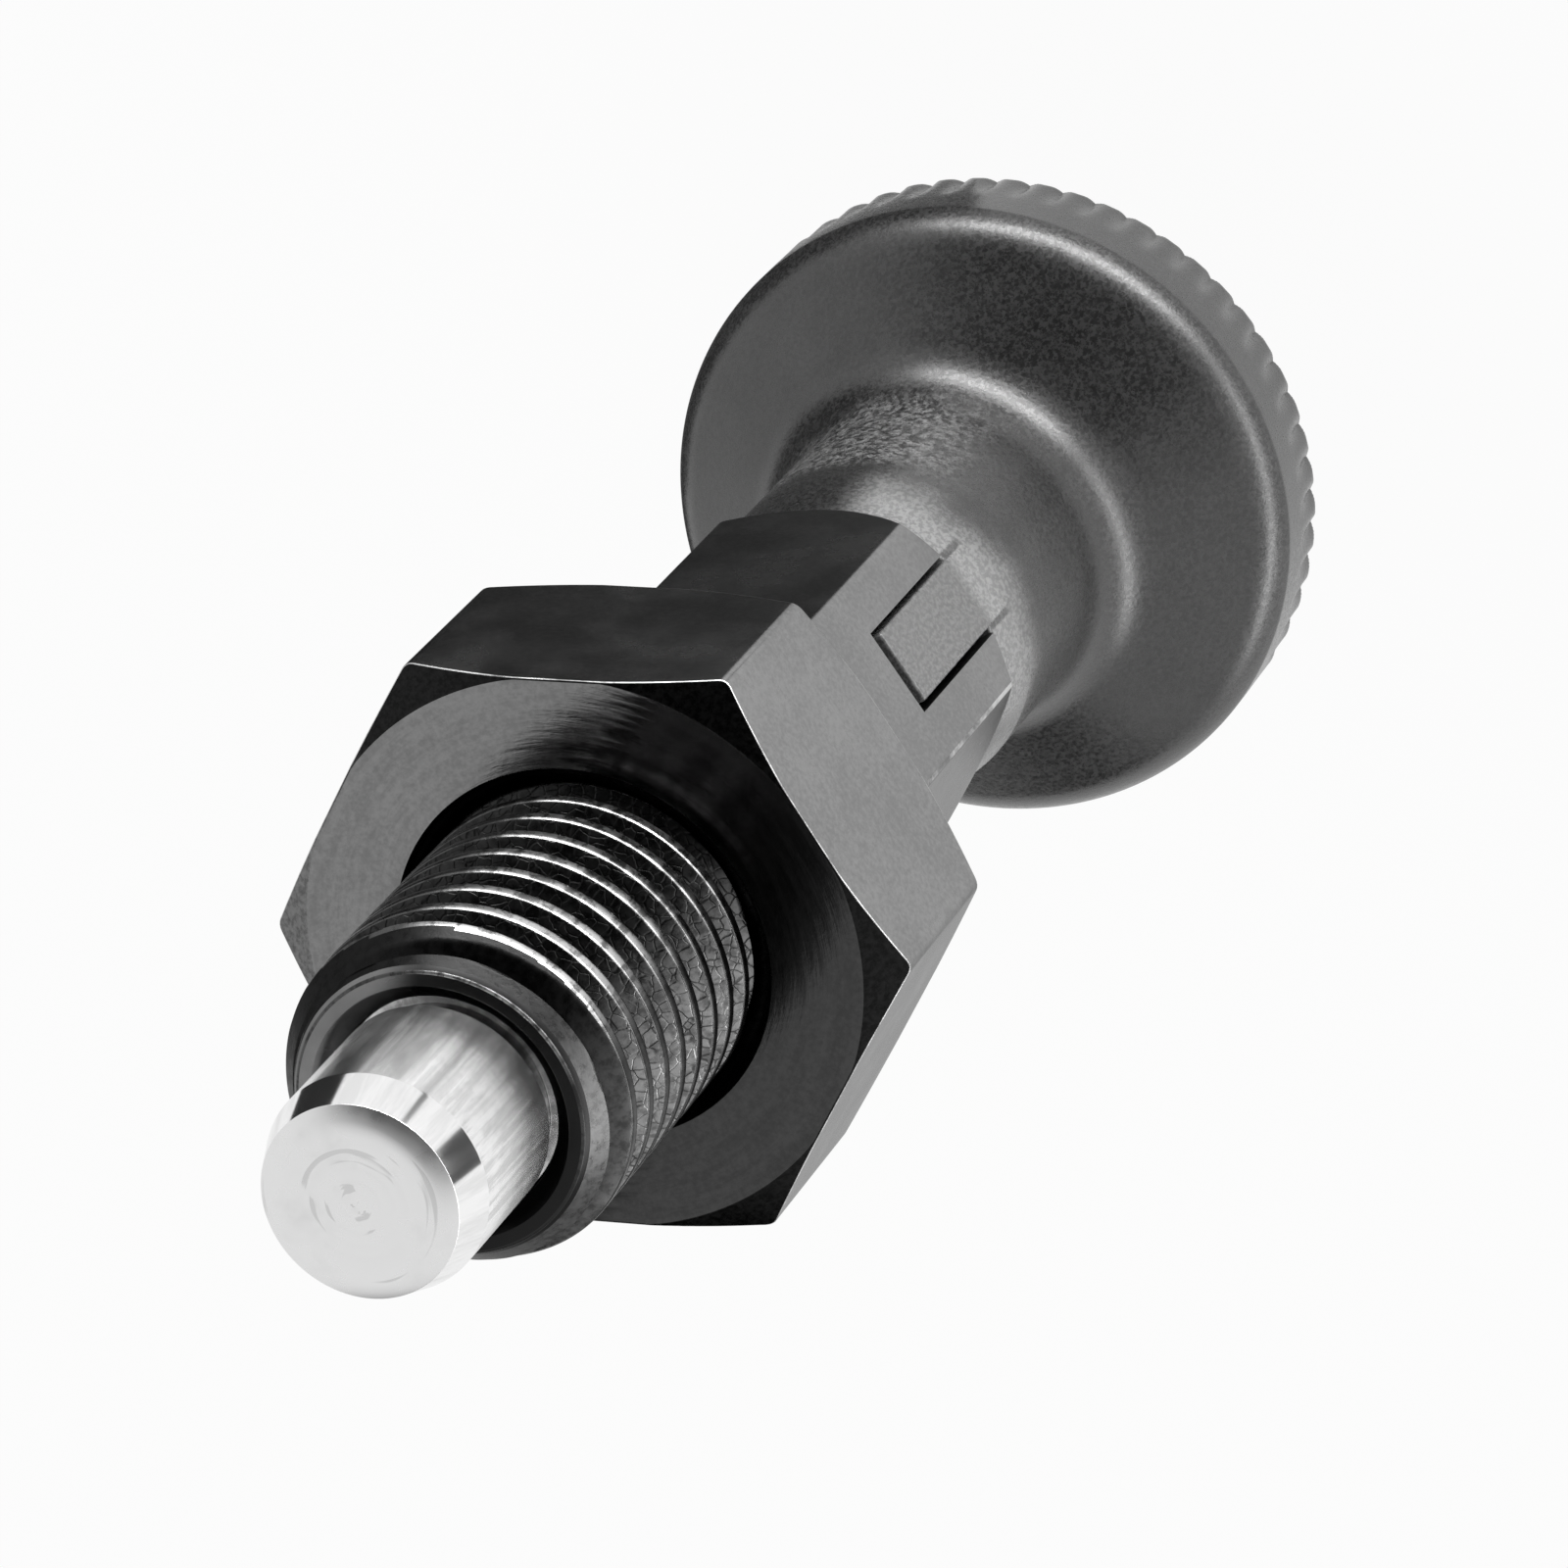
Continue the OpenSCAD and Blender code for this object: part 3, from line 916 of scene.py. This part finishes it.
def spring_point(turn, side):
    """Point on the wire: closed first and last turns, even turns between, ends ground flat."""
    radius = spring_high.x - WIRE_D / 2
    rise = (spring_high.z - spring_low.z - 2 * CLOSED_RISE) / (SPRING_TURNS - 2)
    inner = min(max(turn - 1, 0), SPRING_TURNS - 2)
    height = spring_low.z + CLOSED_RISE * min(turn, 1) + rise * inner
    height += CLOSED_RISE * max(turn - SPRING_TURNS + 1, 0)
    low = max(height - WIRE_D / 2, spring_low.z)
    high = min(height + WIRE_D / 2, spring_high.z)
    r = radius + WIRE_D / 2 * math.cos(side)
    z = (low + high) / 2 + (high - low) / 2 * math.sin(side)
    return polar(r, TURN * turn, z)


wire_grid = [
    spring_point(SPRING_TURNS * i / WIRE_STEPS, TURN * (k + 0.5) / WIRE_SIDES)
    for i in range(WIRE_STEPS + 1)
    for k in range(WIRE_SIDES)
]
wire_faces = grid_faces(WIRE_STEPS + 1, WIRE_SIDES)
wire_faces.append(tuple(reversed(range(WIRE_SIDES))))
wire_faces.append(tuple(WIRE_STEPS * WIRE_SIDES + k for k in range(WIRE_SIDES)))
coil = tidy(piece_of("spring_coil", wire_grid, wire_faces, [WIRE]), sharp=50)
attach(coil, "sleeve")
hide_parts("spring")
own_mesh(coil)

# ------------------------------ lock nut

NUT_AF = 13 * MM
NUT_TURN = -2.0
NUT_FACE_R = 6.55 * MM
NUT_BORE_R = 3.705 * MM
NUT_SINK = 0.7 * MM
NUT_EDGE = 0.045 * MM
NUT_MOUTH_ROUND = 0.03 * MM
NUT_CORNER = 0.3 * MM
NUT_FLAT_STEPS = 28
NUT_CHAMFER_MIN = 0.04 * MM
CHAMFER_SLOPE = math.tan(math.radians(30))
FLAT_ENDS = (4, 5)  # the corners of nut_section where the flats end


def nut_section(outer):
    """Section of the nut in a direction where its outline has this radius."""
    face_r = min(NUT_FACE_R, outer - NUT_CHAMFER_MIN)
    drop = (outer - face_r) * CHAMFER_SLOPE
    return [
        (NUT_BORE_R, SHOULDER_Z + NUT_SINK, 0),
        (NUT_BORE_R, NUT_FACE_Z - NUT_SINK, 0),
        (NUT_BORE_R + NUT_SINK, NUT_FACE_Z, NUT_MOUTH_ROUND),
        (face_r, NUT_FACE_Z, NUT_EDGE),
        (outer, NUT_FACE_Z - drop, NUT_EDGE),
        (outer, SHOULDER_Z + drop, NUT_EDGE),
        (face_r, SHOULDER_Z, NUT_EDGE),
        (NUT_BORE_R + NUT_SINK, SHOULDER_Z, NUT_MOUTH_ROUND),
        (NUT_BORE_R, SHOULDER_Z + NUT_SINK, 0),
    ]


def nut_finish(start, end, corner):
    """Finish of a face of the nut: worn where its flats end, turned on its two faces."""
    if on_fillet(start, end):
        return WORN if start[2] in FLAT_ENDS else SHADED_BLACK
    if upright(start, end):
        return BLACK
    return FACED_BLACK if level(start, end) else SHADED_BLACK


nut = hex_bar(
    "nut_body",
    hex_outline(NUT_AF, NUT_CORNER, NUT_FLAT_STEPS, NUT_TURN),
    nut_section,
    [BLACK, WORN, FACED_BLACK, SHADED_BLACK],
    nut_finish,
)
even_normals(nut, sharp=50)
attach(nut, "nut")
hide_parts("lock_nut")

# ------------------------------ sleeve

PITCH = 1.0 * MM
CREST_R = 3.96 * MM
ROOT_R = 3.4 * MM
CREST_W = 0.16 * MM
CREST_ROUND = 0.12 * MM
CREST_ARC = CREST_ROUND * math.sin(math.radians(60))
CREST_SHINE = 0.04 * MM
FLANK_SLOPE = 1 / math.tan(math.radians(30))
FIRST_CREST_Z = FACE_Z - 1.05 * MM
FIRST_CREST_ANGLE = 28
NOSE_LEN = 1.1 * MM
NOSE_R = 3.25 * MM
THREAD_R = 4.0 * MM
NOSE_SLOPE = (THREAD_R - NOSE_R) / NOSE_LEN
NECK_R = 3.675 * MM
NECK_END_Z = SHOULDER_Z - 0.1 * MM
THREAD_FOOT_Z = NUT_FACE_Z - NUT_SINK
THREAD_TOP_Z = FACE_Z - 0.15 * MM
THREAD_CLEAR = 0.07 * MM
BORE_R = 2.53 * MM
BORE_GAP = 0.02 * MM
MOUTH_CHAMFER = 0.4 * MM
MOUTH_ROUND = 0.04 * MM
NOSE_ROUND = 0.09 * MM
HOLE_R = 1.55 * MM
SLOT_GAP = 0.15 * MM
SLOT_END_GAP = 0.4 * MM
SLOT_ROUND = 0.05 * MM
HEX_END_R = 3.95 * MM
HEX_FOOT_R = 4.0 * MM
HEX_CORNER = 0.25 * MM
HEX_FLAT_STEPS = 16
HEX_EDGE = 0.04 * MM
HEX_CHAMFER_MIN = 0.05 * MM
HEX_CHAMFER_SLOPE = 1.53
SHOULDER_CHAMFER_SLOPE = 0.5
WORN_CORNER = 5  # the hexagon's corner toward azimuth 330
THREAD_COLUMNS = 240

# Heights of the thread's profile points above a root, in pitches; the crest is the middle part
ROOT_TO_CREST = [0, 0.03, 0.06, 0.1, 0.14, 0.18, 0.22, 0.27, 0.316, 0.335, 0.36, 0.389, 0.42]
PROFILE = ROOT_TO_CREST + [0.5] + [1 - t for t in reversed(ROOT_TO_CREST[1:])]
CREST_FROM = 0.33
CREST_TO = 0.65


def thread_lift(angle):
    """Height of the first crest at an angle round the axis: the thread is right-handed."""
    return FIRST_CREST_Z + (angle - math.radians(FIRST_CREST_ANGLE)) / TURN * PITCH


def thread_radius(angle, height):
    """Radius of the M8 x 1 thread, cut by the nose cone and kept clear of the nut's countersink."""
    turns = (height - thread_lift(angle)) / PITCH
    away = abs((turns + 0.5) % 1.0 - 0.5) * PITCH
    beside = max(away - CREST_W / 2, 0)
    if beside < CREST_ARC:
        radius = CREST_R - CREST_ROUND + math.sqrt(CREST_ROUND ** 2 - beside ** 2)
    else:
        radius = max(CREST_R - CREST_ROUND / 2 - (beside - CREST_ARC) * FLANK_SLOPE, ROOT_R)
    nose = NOSE_R + (FACE_Z - height) * NOSE_SLOPE
    foot = max(NECK_R, NUT_BORE_R + height - THREAD_FOOT_Z - THREAD_CLEAR)
    return min(radius, nose, foot)


def thread_mesh():
    """The thread as a grid whose rows follow the helix; each row meets itself one pitch higher."""
    first = math.floor((THREAD_FOOT_Z - FIRST_CREST_Z) / PITCH) - 1.5
    turns = math.ceil((THREAD_TOP_Z - FIRST_CREST_Z) / PITCH - first) + 1
    per_pitch = len(PROFILE)
    rows = turns * per_pitch
    points, radii = [], []
    for row in range(rows):
        rise = (first + row // per_pitch + PROFILE[row % per_pitch]) * PITCH
        for j in range(THREAD_COLUMNS):
            a = TURN * j / THREAD_COLUMNS
            z = min(max(thread_lift(a) + rise, THREAD_FOOT_Z), THREAD_TOP_Z)
            r = thread_radius(a, z)
            points.append(polar(r, a, z))
            radii.append(r)
    faces, slots = [], []
    finishes = [THREAD, CREST]
    last = THREAD_COLUMNS - 1
    for row in range(rows - 1):
        on_crest = CREST_FROM < PROFILE[row % per_pitch] < CREST_TO
        low, high = row * THREAD_COLUMNS, (row + 1) * THREAD_COLUMNS
        for j in range(THREAD_COLUMNS):
            if j < last:
                faces.append((low + j, low + j + 1, high + j + 1, high + j))
            elif row + 1 + per_pitch < rows:
                over = (row + per_pitch) * THREAD_COLUMNS
                faces.append((low + last, over, over + THREAD_COLUMNS, high + last))
            else:
                continue
            finish = CREST if on_crest and radii[low + j] > CREST_R - CREST_SHINE else THREAD
            slots.append(finishes.index(finish))
    return tidy(piece_of("thread", points, faces, finishes, slots))


def hex_section(outer):
    """Section of the hexagon in a direction where its outline has this radius."""
    end_r = min(HEX_END_R, outer - HEX_CHAMFER_MIN)
    foot_r = min(HEX_FOOT_R, outer - HEX_CHAMFER_MIN)
    return [
        (0, HEX_END_Z, 0),
        (end_r, HEX_END_Z, HEX_EDGE),
        (outer, HEX_END_Z + (outer - end_r) * HEX_CHAMFER_SLOPE, HEX_EDGE),
        (outer, SHOULDER_Z - (outer - foot_r) * SHOULDER_CHAMFER_SLOPE, HEX_EDGE),
        (foot_r, SHOULDER_Z, 0),
        (0, SHOULDER_Z, 0),
    ]


def hexagon_finish(start, end, corner):
    """Finish of a face of the hexagon: worn on its edges and all along one corner."""
    worn = on_fillet(start, end) or (corner == WORN_CORNER and upright(start, end))
    return WORN if worn else BLACK


def hexagon_cutters():
    """The slots for the knob's lugs, the hole for the pin's shank and the bore for the spring."""
    inner = HEX_AF / 2 - LUG_T - SLOT_GAP
    half_width = LUG_W / 2 + SLOT_GAP
    end_z = LUG_END_Z + SLOT_END_GAP
    cutters = [
        side_block("slot", side, inner, HEX_AF, half_width, HEX_END_Z - MM, end_z, [])
        for side in (1, -1)
    ]
    cutters.append(rod("hole", HOLE_R, HEX_END_Z - MM, SHOULDER_Z - MM, 64))
    cutters.append(rod("bore", BORE_R + BORE_GAP, spring_low.z - BORE_GAP, SHOULDER_Z + MM, 96))
    return cutters


hexagon = hex_bar(
    "hexagon",
    hex_outline(HEX_AF, HEX_CORNER, HEX_FLAT_STEPS),
    hex_section,
    [BLACK, WORN],
    hexagon_finish,
)
hexagon = bevel_sharp(cut(hexagon, hexagon_cutters()), SLOT_ROUND, angle=50, segments=2)

mouth_corners = [
    (NOSE_R + (FACE_Z - THREAD_TOP_Z) * NOSE_SLOPE, THREAD_TOP_Z, 0),
    (NOSE_R, FACE_Z, NOSE_ROUND),
    (BORE_R + MOUTH_CHAMFER, FACE_Z, MOUTH_ROUND),
    (BORE_R, FACE_Z - MOUTH_CHAMFER, MOUTH_ROUND),
    (BORE_R, NECK_END_Z, 0),
]
# The nose edge's crest finish has a painted highlight toward +X and +Y.
NOSE_EDGE = 1  # the corner of mouth_corners that is rubbed bright


def mouth_finish(start, end):
    """Finish of a ring of the mouth: turned, with that finish's painted shade, and rubbed bright on
    the nose's edge, with the crest finish's painted highlight.
    """
    return CREST if on_fillet(start, end) and start[2] == NOSE_EDGE else TURNED


mouth = lathe("mouth", section(mouth_corners), THREAD_COLUMNS, [TURNED, CREST], mouth_finish)


def neck_mesh():
    """The plain neck below the thread, from the thread's last section down into the hexagon and in
    to the bore, so that it closes the threaded end."""
    angles = [TURN * j / THREAD_COLUMNS for j in range(THREAD_COLUMNS)]
    rings = [[(thread_radius(a, THREAD_FOOT_Z), THREAD_FOOT_Z) for a in angles]]
    for corner in ((NECK_R, THREAD_FOOT_Z), (NECK_R, NECK_END_Z), (BORE_R, NECK_END_Z)):
        rings.append([corner] * THREAD_COLUMNS)
    points = [polar(r, a, z) for ring in rings for a, (r, z) in zip(angles, ring)]
    return piece_of("neck", points, grid_faces(len(rings), THREAD_COLUMNS), [TURNED])


sleeve = tidy(merged("sleeve_body", [hexagon, thread_mesh(), mouth, neck_mesh()]))
even_normals(sleeve, sharp=40)
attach(sleeve, "sleeve")
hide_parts("guide_sleeve")

# ------------------------------ floor, surround and cards

WHITE = 1.0
FLOOR_SIZE = 1.2
FLOOR_GAP = 0.3 * MM
CARD_LIFT = 0.3 * MM
EVEN_WHITE = 0.94


def floor_paper(graph):
    """Pale paper. What the camera and the reflections see of it is nearly even white, with the
    object's shadow still on it."""
    glow = graph.node("ShaderNodeEmission")
    glow.inputs["Strength"].default_value = WHITE
    path = graph.node("ShaderNodeLightPath")
    seen = graph.math("MAXIMUM", path.outputs["Is Camera Ray"], path.outputs["Is Glossy Ray"])
    seen = graph.math("MAXIMUM", seen, path.outputs["Is Transmission Ray"])
    mix = graph.node("ShaderNodeMixShader")
    graph.join(graph.times(seen, EVEN_WHITE), mix.inputs[0])
    graph.join(diffuse(graph, 0.8).outputs[0], mix.inputs[1])
    graph.join(glow.outputs[0], mix.inputs[2])
    return mix


half = FLOOR_SIZE / 2
floor_z = BASE_Z - PULL - FLOOR_GAP  # just clear of the pulled knob
floor = piece_of(
    "floor",
    [(-half, -half, floor_z), (half, -half, floor_z), (half, half, floor_z), (-half, half, floor_z)],
    [(0, 1, 2, 3)],
    [material_of("floor_paper", floor_paper)],
)


def surround():
    """Studio surround: soft light from all round but for dark gaps over the camera's side and low
    in one corner, brighter bands low in front, and white for the camera."""
    world = bpy.data.worlds.new("studio")
    world.use_nodes = True
    graph = Graph(world.node_tree)
    where = graph.node("ShaderNodeTexCoord").outputs["Generated"]
    height = graph.along(where, (0, 0, 1))
    tent = graph.ramp(graph.along(where, direction(42, 61)), 0.64, 0.93, 1.05, 0.05)
    dark_corner = graph.ramp(graph.along(where, direction(-131, 0)), 0.9, 0.965, 1.0, 0.0)
    tent = graph.times(tent, dark_corner)
    low = graph.ramp(height, 0.08, 0.2, 1.0, 0.0)
    side = graph.ramp(graph.along(where, direction(-42, 0)), 0.6, 0.95, 0.0, 8.0)
    front = graph.ramp(graph.along(where, direction(44, 0)), 0.68, 0.97, 0.0, 21.0)
    band = graph.times(graph.math("ADD", side, front), low)
    level = graph.math("ADD", tent, band)
    path = graph.node("ShaderNodeLightPath")
    seen = graph.node("ShaderNodeMix", data_type="FLOAT")
    graph.join(path.outputs["Is Camera Ray"], seen.inputs["Factor"])
    graph.join(level, seen.inputs[2])
    seen.inputs[3].default_value = WHITE
    background = graph.node("ShaderNodeBackground")
    graph.join(seen.outputs[0], background.inputs["Strength"])
    output = graph.node("ShaderNodeOutputWorld")
    graph.join(background.outputs[0], output.inputs["Surface"])
    bpy.context.scene.world = world


surround()


def floor_card(name, start, end, near, far, tone):
    """A sheet of grey paper on the floor round the object, between two azimuths and two radii.
    Only reflections see it: it gives the bright metal its dark bands."""
    steps = 12
    points = []
    for radius in (near, far):
        for i in range(steps + 1):
            p = direction(start + (end - start) * i / steps, 0) * radius
            points.append((p.x, p.y, BASE_Z + CARD_LIFT))
    paper = material_of(name, lambda graph: diffuse(graph, tone))
    card = piece_of(name, points, grid_faces(2, steps + 1, closed=False), [paper])
    card.visible_camera = False
    card.visible_diffuse = False
    card.visible_shadow = False


floor_card("grey_card_foot", 62, 186, 8.6 * MM, 11 * MM, 0.3)
floor_card("dark_card_near", 62, 186, 11 * MM, 16 * MM, 0.12)
floor_card("dark_card_middle", 70, 158, 16 * MM, 24.5 * MM, 0.12)
floor_card("dark_card_far", 64, 146, 24.5 * MM, 36 * MM, 0.02)
floor_card("dark_card_back", 98, 138, 36 * MM, 110 * MM, 0.04)
floor_card("dark_card_front", -36, -4, 80 * MM, 170 * MM, 0.12)
floor_card("grey_card_line", 33, 39, 24 * MM, 80 * MM, 0.3)
floor_card("grey_card_line_far", 30, 35, 80 * MM, 170 * MM, 0.3)

# ------------------------------ view transform, and the end

bpy.context.scene.view_settings.view_transform = "Standard"
